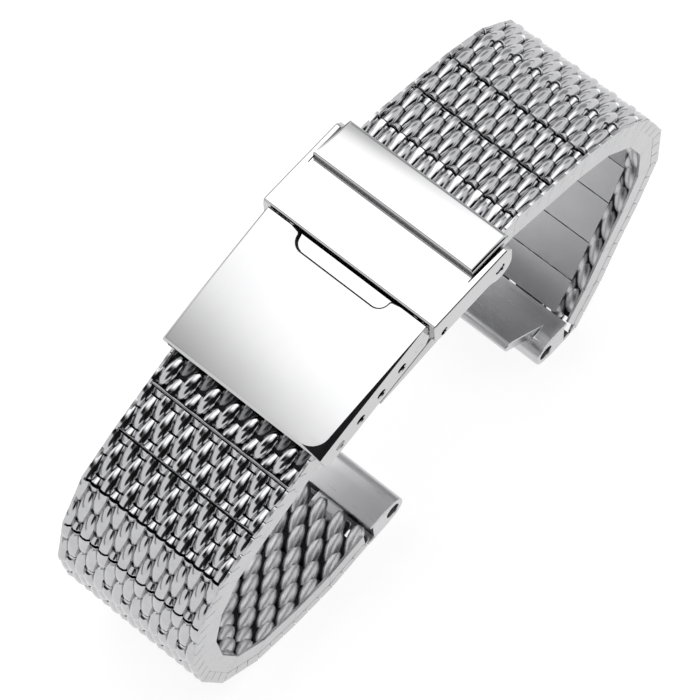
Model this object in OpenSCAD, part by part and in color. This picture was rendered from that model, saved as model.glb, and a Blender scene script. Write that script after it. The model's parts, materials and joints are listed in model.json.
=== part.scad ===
// Woven steel watch bracelet with removable links and a fold-over clasp.
// It stands on its two returned ends, the way it is shown: X runs along the strap,
// Y across it and Z up. The lower strap leaves the clasp to the left (-X), the upper one to the right.

/* [Strap] */
// Width of the woven strap
strap_w = 20; // [16:0.5:24]
// Thickness of the woven strap
strap_t = 4; // [3.6:0.1:4.6]
// Distance from one seam to the next
link_pitch = 6.1; // [5.8:0.1:7]
// Rows of coils that show in one link
rows_per_link = 3; // [2:1:5]
// Depth of the groove between two rows of coils
row_groove = 0.22; // [0.1:0.02:0.3]

/* [Hinges] */
// Diameter of the pins between the links
pin_d = 1.0; // [0.8:0.05:1.2]
// Outer diameter of the knuckles round a pin
knuckle_d = 2.6; // [2.2:0.1:2.8]
// Radial clearance of a bore that turns on a pin
run_gap = 0.06; // [0.02:0.01:0.1]
// Radial clearance of a bore that is fast on a pin
press_gap = 0.01; // [0.005:0.005:0.02]
// Clearance between faces that pass each other
side_gap = 0.25; // [0.15:0.05:0.4]

/* [Lower strap pose] */
// Length of the lower strap's first link, from the spring bar to the first seam
lower_first = 6.84; // [6.6:0.02:7.4]
// Slope of the lower strap's first link below the horizontal
lower_start_angle = 27; // [22:1:30]

/* [Upper strap pose] */
// Length of the upper strap's first link, from the lock's pin to the first seam
upper_first = 4.9; // [4.7:0.1:6]
// Slope of the upper strap's first link above the horizontal
upper_start_angle = 1; // [-3:1:3]

/* [Lug ends] */
// Diameter of the bore that takes the watch's spring bar
lug_bore_d = 2.0; // [1.6:0.1:2.2]
// Distance from the last seam to the lug bore
lug_bore_at = 4.9; // [4.5:0.1:6]
// Wall round the lug bore
lug_wall = 0.75; // [0.6:0.05:0.9]
// Width of the smooth nose on the upper lug end
nose_w = 16; // [12:0.5:17]
// Length of the smooth nose
nose_len = 8; // [6:0.5:9]
// Thickness of the smooth nose
nose_t = 1.4; // [1.2:0.1:1.8]
// Slope of the smooth nose to its bar
nose_angle = 36; // [30:1:42]

/* [Clasp cover] */
// Length of the cover
cover_len = 17.7; // [17:0.1:20]
// Slope of the cover
cover_angle = 17; // [15:1:19]
// Thickness of the cover's top
cover_top_t = 0.8; // [0.6:0.05:0.9]
// Thickness of the clasp's side walls
wall_t = 0.8; // [0.7:0.05:1]
// Clearance between the strap's edges and the walls beside them
strap_side_gap = 0.35; // [0.25:0.05:0.5]
// Depth of the cover's side walls, measured from its top
cover_wall_h = 4.2; // [4:0.1:4.6]
// Number of adjusting holes in each side wall
adjust_holes = 4; // [3:1:4]
// Distance between two adjusting holes
adjust_pitch = 3.48; // [3.2:0.02:3.6]
// Diameter of an adjusting hole
adjust_d = 1.25; // [1:0.05:1.4]
// Distance from the cover's lower end to the last adjusting hole
adjust_end = 2.8; // [2.6:0.1:3.4]
// Depth of the adjusting holes below the cover's top
adjust_depth = 2.85; // [2.8:0.05:3]
// Width of the finger recess
recess_w = 12.5; // [10:0.5:15]
// How far the finger recess reaches in from the cover's edge
recess_d = 1.3; // [1:0.1:1.6]
// Sheet left under the finger recess
recess_floor = 0.3; // [0.2:0.05:0.4]

/* [Folding blades] */
// Length of the folding blade between its two pins
blade_len = 12; // [11.5:0.1:12.4]
// Thickness of the folding blade
blade_t = 0.7; // [0.6:0.05:0.8]
// Width of the folding blade
blade_w = 17; // [14:0.5:18]
// Diameter of the clasp's hinge pins
clasp_pin_d = 1.1; // [0.9:0.05:1.2]
// Outer diameter of the blades' knuckles
blade_knuckle_d = 2.1; // [1.9:0.05:2.2]
// Depth of the pin at the cover's front edge below the cover's top
front_pin_depth = 2.8; // [2.6:0.1:3]
// Distance from the cover's front edge back to that pin
front_pin_back = 1.7; // [1.5:0.1:2]
// Depth of the rear blade pin below the cover's top
rear_pin_depth = 6.2; // [6:0.1:6.6]
// Thickness of the clasp base's floor
floor_t = 0.7; // [0.6:0.05:0.9]
// How far the base's side flanges reach back beside the floor
flange_back = 8.7; // [7:0.1:9.5]

/* [Flip lock] */
// Length of the flip lock's plate, front to rear along its top
lock_len = 6.3; // [6:0.1:7]
// Slope of the flip lock
lock_angle = 2; // [0:1:4]
// Gap between the cover's edge and the flip lock's lip
lock_gap = 0.7; // [0.6:0.05:1]
// Thickness of the flip lock's plate
lock_t = 0.8; // [0.7:0.05:0.9]
// Height of the flip lock's side walls
lock_wall_h = 3.8; // [3.6:0.1:4]
// Thickness of the flip lock's side walls
lock_wall_t = 0.75; // [0.65:0.05:0.9]
// Diameter of the flip lock's pin
lock_pin_d = 1.3; // [1.1:0.05:1.5]
// Depth of the flip lock's pin below its top
lock_pin_depth = 2.7; // [2.5:0.05:2.9]
// Radius of the ear round the flip lock's pin
ear_r = 1.9; // [1.7:0.05:2]
// Radius of the round joint face between the flip lock and the end block
joint_r = 5.2; // [5:0.05:5.3]
// Diameter of the studs that the flip lock's latch holes snap over
stud_d = 0.9; // [0.7:0.05:1]
// Distance from the flip lock's front edge to its latch holes
latch_back = 1.6; // [1.5:0.1:2]
// Depth of the latch holes below the flip lock's top
latch_depth = 3.1; // [2.9:0.05:3.2]

/* [End block] */
// Height of the end block's top above the flip lock's pin
block_h = 3.6; // [3.5:0.05:3.8]
// Distance from the flip lock's pin to the end block's rear edge
block_rear = 2.3; // [2:0.1:2.6]
// Thickness of the end block's top
block_top_t = 1.2; // [1:0.05:1.3]

/* [Hidden] */
$fn = 48;

// Bend at each seam, in degrees, positive towards the wrist
lower_bends = [-1, 5, 27, 20, 21, 18, 28, 23, 8, 14, -5];
upper_bends = [14, 0, 8, 20, 23, 25, 26, 6, -4, 8, 55];
// The straps' ends in the chain
last = len(lower_bends);

steel = "silver";
dark_steel = "gray";

half_w = strap_w / 2;
half_t = strap_t / 2;
wall_in = half_w + strap_side_gap;
wall_out = wall_in + wall_t;
ear_in = wall_out + side_gap / 2;
ear_out = ear_in + lock_wall_t;
knuckle_r = knuckle_d / 2;
pin_r = pin_d / 2;
// Where a link's body begins, measured from its hinge
body_from = knuckle_r + side_gap;
// Where the lip over the neighbour's knuckles begins, on the outer and on the inner face
lip_outer = 0.4;
lip_inner = 1.1;
lip_t = half_t - knuckle_r - side_gap;
// How far a knuckle's neck reaches into its link's body
neck_root = 0.2;
// Round end of a first link, which turns under a flat sheet
first_end_inset = 0.15;
first_end_r = half_t - first_end_inset;

// Heading of link i, in degrees, from the first heading and the bends; side is 1 or -1
function heading(i, first, bends, side) =
    i == 0 ? first : heading(i - 1, first, bends, side) + side * bends[i - 1];
// Hinge point at the start of link i, in the XZ plane
function hinge_at(i, start, len0, first, bends, side) =
    i == 0 ? start :
    let (h = heading(i - 1, first, bends, side), step = i == 1 ? len0 : link_pitch)
    hinge_at(i - 1, start, len0, first, bends, side) + step * [cos(h), sin(h)];

// Everything is placed from the flip lock's pin, then moved so that the ends stand on z = 0
lock_pin_at = [0, 0];
// The plate's rear edge lies on the joint face, this far in front of the pin
joint_gap = 0.15;
lock_tail = sqrt(pow(joint_r + joint_gap, 2) - pow(lock_pin_depth, 2));
// The flip lock's front top edge
lock_front = lock_pin_at + [
    -(lock_len + lock_tail) * cos(lock_angle) - lock_pin_depth * sin(lock_angle),
    -(lock_len + lock_tail) * sin(lock_angle) + lock_pin_depth * cos(lock_angle)];
cover_front = lock_front - lock_gap * [cos(cover_angle), sin(cover_angle)];
// A point of the cover's plane (x from its front top edge, z up from its top) in the drawing's XZ plane
function on_cover(x, z) = cover_front + [x * cos(cover_angle) - z * sin(cover_angle),
    x * sin(cover_angle) + z * cos(cover_angle)];
adjust_bar_x = -cover_len + adjust_end;
adjust_bar_at = on_cover(adjust_bar_x, -adjust_depth);
front_pin_at = on_cover(-front_pin_back, -front_pin_depth);
rear_pin_drop = rear_pin_depth - front_pin_depth;
rear_pin_x = -front_pin_back - sqrt(pow(blade_len, 2) - pow(rear_pin_drop, 2));
rear_pin_at = on_cover(rear_pin_x, -rear_pin_depth);
blade_slope = atan2(rear_pin_drop, -front_pin_back - rear_pin_x);

lower_heading = 180 + lower_start_angle;
function lower_angle(i) = heading(i, lower_heading, lower_bends, 1);
function lower_hinge(i) = hinge_at(i, adjust_bar_at, lower_first, lower_heading, lower_bends, 1);
function upper_angle(i) = heading(i, upper_start_angle, upper_bends, -1);
function upper_hinge(i) = hinge_at(i, lock_pin_at, upper_first, upper_start_angle, upper_bends, -1);

// The four outer corners of a link, which set how far the standing bracelet reaches
function corners(p, h, len, side) = [for (x = [lip_outer, len - lip_outer])
    p + x * [cos(h), sin(h)] - side * half_t * [-sin(h), cos(h)]];
function reach(i) = i == 0 ? lower_first : i == last ? lug_bore_at + lug_bore_d / 2 + lug_wall : link_pitch;
outer_points = [
    for (i = [1:last]) each corners(lower_hinge(i), lower_angle(i), reach(i), 1),
    for (i = [1:last]) each corners(upper_hinge(i), upper_angle(i), reach(i), -1)];
low_x = min([for (p = outer_points) p[0]]);
high_x = max([for (p = outer_points) p[0]]);
low_z = min([for (p = outer_points) p[1]]);
stand = [-(low_x + high_x) / 2, -low_z];

// Places a piece that is drawn with x along its heading and z to its left
module placed(p, h) {
    translate([p[0] + stand[0], 0, p[1] + stand[1]]) rotate([0, -h, 0]) children();
}

// A profile in the XZ plane, extruded from y0 to y1
module across(y0, y1) {
    translate([0, y1, 0]) rotate([90, 0, 0]) linear_extrude(height = y1 - y0) children();
}

// Knuckle stations across the strap: three on the end that leads on, two on the end that follows
stations = 5;
station_w = (strap_w - (stations - 1) * side_gap) / stations;
function station_from(k) = -half_w + k * (station_w + side_gap);

// One link's side profile. in_z is the sign of z towards the wrist
module link_profile(len, in_z) {
    difference() {
        polygon([
            [lip_outer, -in_z * half_t], [lip_outer, -in_z * (half_t - lip_t)],
            [body_from, -in_z * (half_t - lip_t)], [body_from, in_z * (half_t - lip_t)],
            [lip_inner, in_z * (half_t - lip_t)], [lip_inner, in_z * half_t],
            [len - lip_inner, in_z * half_t], [len - lip_inner, in_z * (half_t - lip_t)],
            [len - body_from, in_z * (half_t - lip_t)], [len - body_from, -in_z * (half_t - lip_t)],
            [len - lip_outer, -in_z * (half_t - lip_t)], [len - lip_outer, -in_z * half_t]]);
        for (k = [1:rows_per_link - 1], s = [-1, 1])
            translate([len * k / rows_per_link, s * half_t]) circle(r = row_groove, $fn = 24);
    }
}

// A knuckle with its neck to the link's body; toward is 1 where the body lies at larger x
module knuckle(at, toward, r) {
    union() {
        translate([at, 0]) circle(r = r);
        translate([toward > 0 ? at : at - body_from - neck_root, -r]) square([body_from + neck_root, 2 * r]);
    }
}

// How far a cut reaches beyond the face that it opens
cut_over = 1;
module bore(at, r) {
    translate([at, half_w + cut_over, 0]) rotate([90, 0, 0]) cylinder(r = r, h = strap_w + 2 * cut_over);
}

// A link: its hinge with the one before is at x = 0, the one with the next at x = len
module link(len, in_z, rod) {
    difference() {
        union() {
            across(-half_w, half_w) link_profile(len, in_z);
            for (k = [1, 3]) across(station_from(k), station_from(k) + station_w) knuckle(0, 1, knuckle_r);
            for (k = [0, 2, 4]) across(station_from(k), station_from(k) + station_w) knuckle(len, -1, knuckle_r);
        }
        bore(0, pin_r + run_gap);
        if (!rod) bore(len, pin_r + press_gap);
    }
    // a woven segment holds its own cross rod, which the next one turns on
    if (rod) across(-half_w + side_gap, half_w - side_gap) translate([len, 0]) circle(r = pin_r);
}

// The pin of a removable link lies in the link before the seam
module link_pin(len) {
    across(-half_w + side_gap, half_w - side_gap) translate([len, 0]) circle(r = pin_r);
}

// The first link has one wide knuckle, bored to bar_r
module first_link(len, in_z, bar_r) {
    difference() {
        union() {
            across(-half_w, half_w) {
                intersection() {
                    link_profile(len, in_z);
                    translate([first_end_r / 2, -half_t]) square([len, strap_t]);
                }
                circle(r = first_end_r);
                translate([0, -first_end_r]) square([body_from + neck_root, 2 * first_end_r]);
            }
            for (k = [0, 2, 4]) across(station_from(k), station_from(k) + station_w) knuckle(len, -1, knuckle_r);
        }
        bore(0, bar_r);
        bore(len, pin_r + press_gap);
    }
}

lug_r = lug_bore_d / 2 + lug_wall;

// Solid bar at the strap's end, bored for the watch's spring bar
module lug_end(in_z, nose) {
    difference() {
        union() {
            across(-half_w, half_w) {
                polygon([
                    [lip_outer, -in_z * half_t], [lip_outer, -in_z * (half_t - lip_t)],
                    [body_from, -in_z * (half_t - lip_t)], [body_from, in_z * (half_t - lip_t)],
                    [lip_inner, in_z * (half_t - lip_t)], [lip_inner, in_z * half_t],
                    [lug_bore_at - lug_r / 2, in_z * half_t], [lug_bore_at, in_z * lug_r],
                    [lug_bore_at, -in_z * lug_r], [lug_bore_at - lug_r / 2, -in_z * half_t]]);
                translate([lug_bore_at, 0]) circle(r = lug_r);
            }
            for (k = [1, 3]) across(station_from(k), station_from(k) + station_w) knuckle(0, 1, knuckle_r);
            if (nose) across(-nose_w / 2, nose_w / 2) nose_profile(in_z);
        }
        bore(0, pin_r + run_gap);
        bore(lug_bore_at, lug_bore_d / 2);
    }
}

// Smooth nose: a plate that rises from the bar's inner face
module nose_profile(in_z) {
    scale([1, in_z]) translate([lug_bore_at - nose_t, half_t - nose_t]) rotate(nose_angle) union() {
        square([nose_len, nose_t]);
        translate([nose_len, nose_t / 2]) circle(r = nose_t / 2);
    }
}

// A round hole through both side walls
module through(x, z, r) {
    translate([x, ear_out + cut_over, z]) rotate([90, 0, 0]) cylinder(r = r, h = 2 * (ear_out + cut_over));
}

// Clasp cover: a channel with a rounded recess for the finger and two rows of adjusting holes
module clasp_cover() {
    color(steel) placed(cover_front, cover_angle) difference() {
        union() {
            across(-wall_out, wall_out) translate([-cover_len, -cover_top_t]) square([cover_len, cover_top_t]);
            for (s = [-1, 1]) side_wall(s) polygon([[-cover_len, 0], [0, 0],
                [0, wall_chamfer - cover_wall_h], [-wall_chamfer, -cover_wall_h],
                [wall_chamfer - cover_len, -cover_wall_h], [-cover_len, wall_chamfer - cover_wall_h]]);
        }
        for (k = [0:adjust_holes - 1]) through(adjust_bar_x + k * adjust_pitch, -adjust_depth, adjust_d / 2);
        through(-front_pin_back, -front_pin_depth, clasp_pin_d / 2 + press_gap);
        translate([0, 0, recess_floor - cover_top_t]) linear_extrude(height = cover_top_t) {
            translate([-recess_d, -recess_w / 2 + recess_d]) square([recess_d + cut_over, recess_w - 2 * recess_d]);
            for (s = [-1, 1]) translate([0, s * (recess_w / 2 - recess_d)]) circle(r = recess_d);
        }
    }
}
wall_chamfer = 0.85;

// A wall of the clasp on side s, drawn in its profile
module side_wall(s) {
    across(s > 0 ? wall_in : -wall_out, s > 0 ? wall_out : -wall_in) children();
}

module cover_hinge_pin() {
    color(dark_steel) placed(front_pin_at, cover_angle)
        across(-wall_out + pin_end_inset, wall_out - pin_end_inset) circle(d = clasp_pin_d);
}
// How far the cover's pin stays inside its walls
pin_end_inset = 0.05;

module blade_hinge_pin() {
    color(dark_steel) placed(rear_pin_at, cover_angle)
        across(-blade_w / 2, blade_w / 2) circle(d = clasp_pin_d);
}

blade_knuckle_r = blade_knuckle_d / 2;
// The folding blade's rear knuckle is the middle third; the base holds the outer two
middle = blade_w / 6;

// How far the rear knuckle's neck reaches into the blade
blade_root = 1;

// Folding blade: from the rear pin (x = 0) up to the pin in the cover's front edge
module folding_blade() {
    color(steel) placed(rear_pin_at, cover_angle + blade_slope) difference() {
        union() {
            across(-middle + side_gap, middle - side_gap) {
                circle(r = blade_knuckle_r);
                translate([0, -blade_t / 2]) square([blade_knuckle_r + side_gap + blade_root, blade_t]);
            }
            across(-blade_w / 2, blade_w / 2)
                translate([blade_knuckle_r + side_gap, -blade_t / 2])
                    square([blade_len - blade_knuckle_r - side_gap, blade_t]);
            across(-blade_w / 2, blade_w / 2) translate([blade_len, 0]) circle(r = blade_knuckle_r);
        }
        through(0, 0, clasp_pin_d / 2 + run_gap);
        through(blade_len, 0, clasp_pin_d / 2 + run_gap);
    }
}

// The base's floor lies under the folding blade and drops to the rear pin's knuckles
floor_top = -rear_pin_depth + side_gap;
floor_z = floor_top - floor_t;
floor_from = rear_pin_x + blade_knuckle_r + side_gap;
floor_drop = blade_t / 2 + 2 * side_gap;
// The floor is level from this far in front of the rear pin
floor_run = 4;
floor_level_from = rear_pin_x + floor_run;
// The lock's pin in the cover's plane
block_x = (lock_pin_at - cover_front) * [cos(cover_angle), sin(cover_angle)];
block_z = (lock_pin_at - cover_front) * [-sin(cover_angle), cos(cover_angle)];
// Clear of the upper strap's first link
link_clear_r = half_t + side_gap;
floor_to = block_x - link_clear_r;
flange_top = -cover_wall_h - side_gap;
latch_at = [latch_back - lock_tail - lock_len, lock_pin_depth - latch_depth];

// Clasp base: a floor under the folding blade, and flanges that stand under the cover's walls
// and rise under the flip lock, where they hold its studs
module clasp_base() {
    color(steel) difference() {
        placed(cover_front, cover_angle) union() {
            across(-blade_w / 2, blade_w / 2) polygon([
                [floor_from, floor_z - floor_drop], [floor_level_from, floor_z], [floor_to, floor_z],
                [floor_to, floor_top], [floor_level_from, floor_top], [floor_from, floor_top - floor_drop]]);
            across(-wall_out, wall_out) translate([side_gap, floor_z]) square([floor_to - side_gap, floor_t]);
            for (s = [-1, 1]) {
                side_wall(s) flange_profile();
                across(s > 0 ? middle : -blade_w / 2, s > 0 ? blade_w / 2 : -middle)
                    translate([rear_pin_x, -rear_pin_depth]) {
                        circle(r = blade_knuckle_r);
                        translate([0, -blade_knuckle_r])
                            square([blade_knuckle_r + 2 * side_gap, blade_knuckle_r - side_gap]);
                    }
            }
        }
        placed(rear_pin_at, 0) through(0, 0, clasp_pin_d / 2 + press_gap);
        placed(lock_pin_at, lock_angle) through(latch_at[0], latch_at[1], stud_d / 2 + press_gap);
    }
}

module flange_profile() {
    polygon([[-flange_back, flange_top], [side_gap, flange_top], [side_gap, floor_z],
        [-flange_back, flange_top - flange_tip]]);
    difference() {
        translate([side_gap, floor_z]) square([floor_to - side_gap, -floor_z]);
        translate([block_x, block_z]) {
            circle(r = joint_r + press_gap);
            // below the flip lock's plate
            rotate(lock_angle - cover_angle) translate([-2 * lock_len, lock_pin_depth - lock_t - side_gap])
                square([3 * lock_len, lock_len]);
            // below the end block's cheeks
            translate([-joint_r, floor_top - block_z]) square(2 * joint_r);
        }
    }
}
// Height of the flange's rear tip
flange_tip = 0.4;

// The end block's side profile: a round joint face, cut to stand on the base's floor
module block_profile(from_z, to_x) {
    intersection() {
        circle(r = joint_r);
        rotate(cover_angle) translate([-joint_r, floor_top - block_z]) square(2 * joint_r);
        translate([-joint_r, from_z]) square([joint_r + to_x, block_h - from_z]);
    }
}

// How far the cheeks stay behind the top's rear edge
cheek_back = 1;

// End block: raised top plate, cheeks round the lock's pin and the web that stands on the base
module end_block() {
    color(steel) placed(lock_pin_at, 0) difference() {
        union() {
            across(-wall_out, wall_out) block_profile(block_h - block_top_t, block_rear);
            for (s = [-1, 1]) side_wall(s) {
                block_profile(-joint_r, block_rear - cheek_back);
                circle(r = ear_r);
            }
            across(-wall_out, wall_out) difference() {
                block_profile(-joint_r, -block_rear / 2);
                circle(r = link_clear_r);
            }
        }
        through(0, 0, lock_pin_d / 2 + press_gap);
    }
}

// Flip lock: a plate with side walls that end in ears round the pin
module flip_lock() {
    color(steel) placed(lock_pin_at, lock_angle) difference() {
        union() {
            across(-ear_out, ear_out) difference() {
                translate([-lock_tail - lock_len, lock_pin_depth - lock_t])
                    square([lock_len + lock_t, lock_t]);
                circle(r = joint_r + joint_gap);
            }
            for (s = [-1, 1]) across(s > 0 ? ear_in : -ear_out, s > 0 ? ear_out : -ear_in) {
                polygon([[-lock_tail - lock_len, lock_pin_depth],
                    [-lock_tail - lock_len, lock_pin_depth - lock_wall_h + wall_chamfer],
                    [-lock_tail - lock_len + wall_chamfer, lock_pin_depth - lock_wall_h],
                    [-ear_r, lock_pin_depth - lock_wall_h], [0, -ear_r], [ear_r, 0],
                    [ear_r, lock_pin_depth - wall_chamfer], [ear_r - wall_chamfer, lock_pin_depth]]);
                circle(r = ear_r);
            }
        }
        through(0, 0, lock_pin_d / 2 + run_gap);
        through(latch_at[0], latch_at[1], stud_d / 2 + run_gap);
    }
}

module lock_pin() {
    color(dark_steel) placed(lock_pin_at, 0) across(-ear_out, ear_out) circle(d = lock_pin_d);
}

// Round studs, pressed through the base's flanges, that the latch holes snap over
module lock_studs() {
    color(dark_steel) placed(lock_pin_at, lock_angle)
        for (s = [-1, 1]) across(s > 0 ? wall_in : -wall_out - stud_proud, s > 0 ? wall_out + stud_proud : -wall_in)
            translate(latch_at) circle(d = stud_d);
}
// What is left between a stud and the flip lock's wall
stud_gap = 0.025;
stud_proud = side_gap / 2 - stud_gap;

// Spring bar: wall of its tube outside the tips, and clearances of the tips in their holes and in the tube
tube_wall = 0.25;
tip_gap = 0.05;
tip_slide = 0.02;
// Length of a tip inside the tube, and how far its end stays inside the cover's wall
tip_in = 3;
tip_end_inset = 0.1;
// Wire of the spring
spring_wire = 0.2;
tube_r = adjust_d / 2 + tube_wall;
tip_r = adjust_d / 2 - tip_gap;
spring_r = tip_r - tip_gap;

// Spring bar that joins the lower strap to the cover: a tube, two sprung tips and the spring between them
module adjust_bar_tube() {
    color(dark_steel) placed(adjust_bar_at, cover_angle) difference() {
        across(-half_w, half_w) circle(r = tube_r);
        across(-half_w - cut_over, half_w + cut_over) circle(r = tip_r + tip_slide);
    }
}

module adjust_bar_tips() {
    color(steel) placed(adjust_bar_at, cover_angle)
        for (s = [-1, 1]) across(s > 0 ? half_w - tip_in : tip_end_inset - wall_out,
            s > 0 ? wall_out - tip_end_inset : tip_in - half_w) circle(r = tip_r);
}

module adjust_bar_spring() {
    color(dark_steel) placed(adjust_bar_at, cover_angle)
        difference() {
            across(tip_in - half_w, half_w - tip_in) circle(r = spring_r);
            across(tip_in - cut_over - half_w, half_w - tip_in + cut_over) circle(r = spring_r - spring_wire);
        }
}

module lower_first_link() {
    color(steel) placed(lower_hinge(0), lower_angle(0)) first_link(lower_first, 1, tube_r + run_gap);
}
module lower_link(i) {
    color(steel) placed(lower_hinge(i), lower_angle(i)) link(link_pitch, 1, false);
}
module lower_mesh(i) {
    color(steel) placed(lower_hinge(i), lower_angle(i)) link(link_pitch, 1, true);
}
module lower_lug_end() {
    color(steel) placed(lower_hinge(last), lower_angle(last)) lug_end(1, false);
}
module lower_pin(i) {
    color(dark_steel) placed(lower_hinge(i), lower_angle(i)) link_pin(i == 0 ? lower_first : link_pitch);
}
module upper_first_link() {
    color(steel) placed(upper_hinge(0), upper_angle(0))
        first_link(upper_first, -1, lock_pin_d / 2 + run_gap);
}
module upper_link(i) {
    color(steel) placed(upper_hinge(i), upper_angle(i)) link(link_pitch, -1, false);
}
module upper_mesh(i) {
    color(steel) placed(upper_hinge(i), upper_angle(i)) link(link_pitch, -1, true);
}
module upper_lug_end() {
    color(steel) placed(upper_hinge(last), upper_angle(last)) lug_end(-1, true);
}
module upper_pin(i) {
    color(dark_steel) placed(upper_hinge(i), upper_angle(i)) link_pin(i == 0 ? upper_first : link_pitch);
}

clasp_cover();
cover_hinge_pin();
folding_blade();
blade_hinge_pin();
clasp_base();
end_block();
flip_lock();
lock_pin();
lock_studs();
adjust_bar_tube();
adjust_bar_tips();
adjust_bar_spring();
lower_first_link();
lower_link(1);  // lower_link_1
lower_link(2);  // lower_link_2
lower_link(3);  // lower_link_3
lower_mesh(4);  // lower_mesh_1
lower_mesh(5);  // lower_mesh_2
lower_mesh(6);  // lower_mesh_3
lower_mesh(7);  // lower_mesh_4
lower_mesh(8);  // lower_mesh_5
lower_mesh(9);  // lower_mesh_6
lower_mesh(10);  // lower_mesh_7
lower_lug_end();
lower_pin(0);  // lower_pin_1
lower_pin(1);  // lower_pin_2
lower_pin(2);  // lower_pin_3
lower_pin(3);  // lower_pin_4
upper_first_link();
upper_link(1);  // upper_link_1
upper_link(2);  // upper_link_2
upper_link(3);  // upper_link_3
upper_mesh(4);  // upper_mesh_1
upper_mesh(5);  // upper_mesh_2
upper_mesh(6);  // upper_mesh_3
upper_mesh(7);  // upper_mesh_4
upper_mesh(8);  // upper_mesh_5
upper_mesh(9);  // upper_mesh_6
upper_mesh(10);  // upper_mesh_7
upper_lug_end();
upper_pin(0);  // upper_pin_1
upper_pin(1);  // upper_pin_2
upper_pin(2);  // upper_pin_3
upper_pin(3);  // upper_pin_4
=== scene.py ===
import json
import math

import bmesh
import bpy
from mathutils import Matrix, Vector


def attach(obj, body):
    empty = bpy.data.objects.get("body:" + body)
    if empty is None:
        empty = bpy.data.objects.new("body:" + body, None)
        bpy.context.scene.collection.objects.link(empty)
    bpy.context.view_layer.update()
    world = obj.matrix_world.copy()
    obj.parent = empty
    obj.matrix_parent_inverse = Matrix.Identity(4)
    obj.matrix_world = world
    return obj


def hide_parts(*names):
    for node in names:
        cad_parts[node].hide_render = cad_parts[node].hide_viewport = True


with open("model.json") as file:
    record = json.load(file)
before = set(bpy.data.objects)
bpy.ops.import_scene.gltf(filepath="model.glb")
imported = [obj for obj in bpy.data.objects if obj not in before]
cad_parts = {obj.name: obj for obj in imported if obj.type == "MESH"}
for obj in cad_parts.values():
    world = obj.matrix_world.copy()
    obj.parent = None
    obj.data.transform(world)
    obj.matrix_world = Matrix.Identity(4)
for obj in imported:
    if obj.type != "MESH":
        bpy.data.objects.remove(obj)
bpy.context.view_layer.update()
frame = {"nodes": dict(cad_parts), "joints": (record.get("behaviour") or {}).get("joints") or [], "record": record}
print("frame loaded:", len(frame["nodes"]), "nodes")

mm = 0.001


# Camera: a long lens that looks down on the clasp from the strap's near side.
# Place and sight in metres, angles in degrees, lens and sensor in mm
camera = {
    "place": (-0.15445, -0.13062, 0.41871),
    "azimuth": -49.33,
    "elevation": 63.009,
    "lens": 205.23,
    "sensor": 36.0,
    "sight": (0.01, 20.0),
}


def makeCamera():
    data = bpy.data.cameras.new("camera")
    data.lens = camera["lens"]
    data.sensor_width = camera["sensor"]
    data.clip_start, data.clip_end = camera["sight"]
    seen = bpy.data.objects.new("camera", data)
    seen.location = camera["place"]
    tilt = math.radians(90 - camera["elevation"])
    seen.rotation_euler = (tilt, 0, math.radians(camera["azimuth"]))
    bpy.context.scene.collection.objects.link(seen)
    bpy.context.scene.camera = seen
    print("camera made")


makeCamera()


# Materials
def hexColour(text):
    # sRGB hex to Blender's linear colour
    parts = [int(text[i:i + 2], 16) / 255 for i in (1, 3, 5)]
    linear = [p / 12.92 if p <= 0.04045 else ((p + 0.055) / 1.055) ** 2.4 for p in parts]
    return (*linear, 1.0)


def addNode(tree, kind, inputs=None, **settings):
    # an input is a value, or an output to link
    made = tree.nodes.new(kind)
    for name, value in settings.items():
        setattr(made, name, value)
    for name, value in (inputs or {}).items():
        if isinstance(value, bpy.types.NodeSocket):
            tree.links.new(value, made.inputs[name])
        else:
            made.inputs[name].default_value = value
    return made


def newMaterial(name):
    made = bpy.data.materials.new(name)
    made.use_nodes = True
    made.node_tree.nodes.clear()
    return made, made.node_tree


def perMetre(sizeInMm):
    return 1 / (sizeInMm * mm)


mixShare = 0  # sockets of the Mix node, by its kind
mixNumber = {"under": 2, "over": 3, "result": 0}
mixColour = {"under": 6, "over": 7, "result": 2}
noiseSpread = (0.3, 0.7)  # most of a noise texture's values lie between these


def steelMaterial(name, finish):
    # sizes in mm
    made, tree = newMaterial(name)
    place = addNode(tree, "ShaderNodeTexCoord").outputs["Object"]
    # tone: faint clouds from the polishing mop
    cloud = addNode(tree, "ShaderNodeTexNoise", {
        "Vector": place, "Scale": perMetre(finish["cloudSize"]), "Detail": 3.0, "Roughness": 0.5})
    tone = addNode(tree, "ShaderNodeMix", {
        mixShare: cloud.outputs["Fac"], mixColour["under"]: hexColour(finish["darkTone"]),
        mixColour["over"]: hexColour(finish["lightTone"])}, data_type="RGBA")
    # lines: scratches or grain, drawn out along one direction
    stretch = addNode(tree, "ShaderNodeMapping", {"Vector": place, "Scale": finish["grainStretch"]})
    grain = addNode(tree, "ShaderNodeTexNoise", {
        "Vector": stretch.outputs["Vector"], "Scale": perMetre(finish["grainSize"]),
        "Detail": 4.0, "Roughness": 0.6})
    low, high = finish["roughness"]
    rough = addNode(tree, "ShaderNodeMapRange", {
        "Value": grain.outputs["Fac"], "From Min": noiseSpread[0], "From Max": noiseSpread[1],
        "To Min": low, "To Max": high})
    bump = addNode(tree, "ShaderNodeBump", {
        "Height": grain.outputs["Fac"], "Strength": finish["bumpStrength"],
        "Distance": finish["bumpHeight"] * mm})
    shader = addNode(tree, "ShaderNodeBsdfPrincipled", {
        "Base Color": tone.outputs[mixColour["result"]], "Metallic": 1.0,
        "Roughness": rough.outputs["Result"], "Normal": bump.outputs["Normal"]})
    addNode(tree, "ShaderNodeOutputMaterial", {"Surface": shader.outputs["BSDF"]})
    return made


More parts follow.
